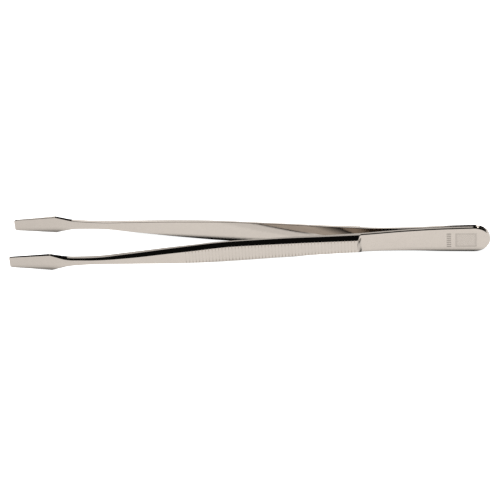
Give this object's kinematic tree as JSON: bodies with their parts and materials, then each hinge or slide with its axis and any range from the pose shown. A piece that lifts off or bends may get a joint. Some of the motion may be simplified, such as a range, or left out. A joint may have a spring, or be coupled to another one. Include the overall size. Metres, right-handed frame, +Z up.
{
  "type": "stamp tongs",
  "caption": "Spade-tip tweezers with ribbed grips and spring leaves welded at a rounded butt, for lifting stamps without creasing them.",
  "frame": {"origin": "mid length, on the plane between the two arms, at the level of the lowest edge, with the tongs lying on their long edges", "axes": "+X from the tips to the butt end, +Y from the front arm to the rear arm, +Z up across the width of the strips"},
  "size_m": [0.15, 0.0178, 0.0104],
  "materials": {
    "front_arm": "polished nickel plate on spring steel",
    "rear_arm": "polished nickel plate on spring steel",
    "weld_metal": "bare resistance-weld nugget"
  },
  "bodies": {
    "handle": {"front_arm_tail": "front_arm", "rear_arm_tail": "rear_arm", "butt_welds": "weld_metal"},
    "front_arm": {"front_arm_blade": "front_arm"},
    "rear_arm": {"rear_arm_blade": "rear_arm"}
  },
  "joints": [
    {"name": "front_arm_flex", "type": "hinge", "parent": "handle", "child": "front_arm", "pos_m": [0.047, -0.00065, 0.0052], "axis": [0, 0, 1], "range_deg": [-3.71, 0], "stiffness_Nm_per_rad": 4},
    {"name": "rear_arm_flex", "type": "hinge", "parent": "handle", "child": "rear_arm", "pos_m": [0.047, 0.00065, 0.0052], "axis": [0, 0, 1], "range_deg": [0, 3.71], "stiffness_Nm_per_rad": 4}
  ]
}
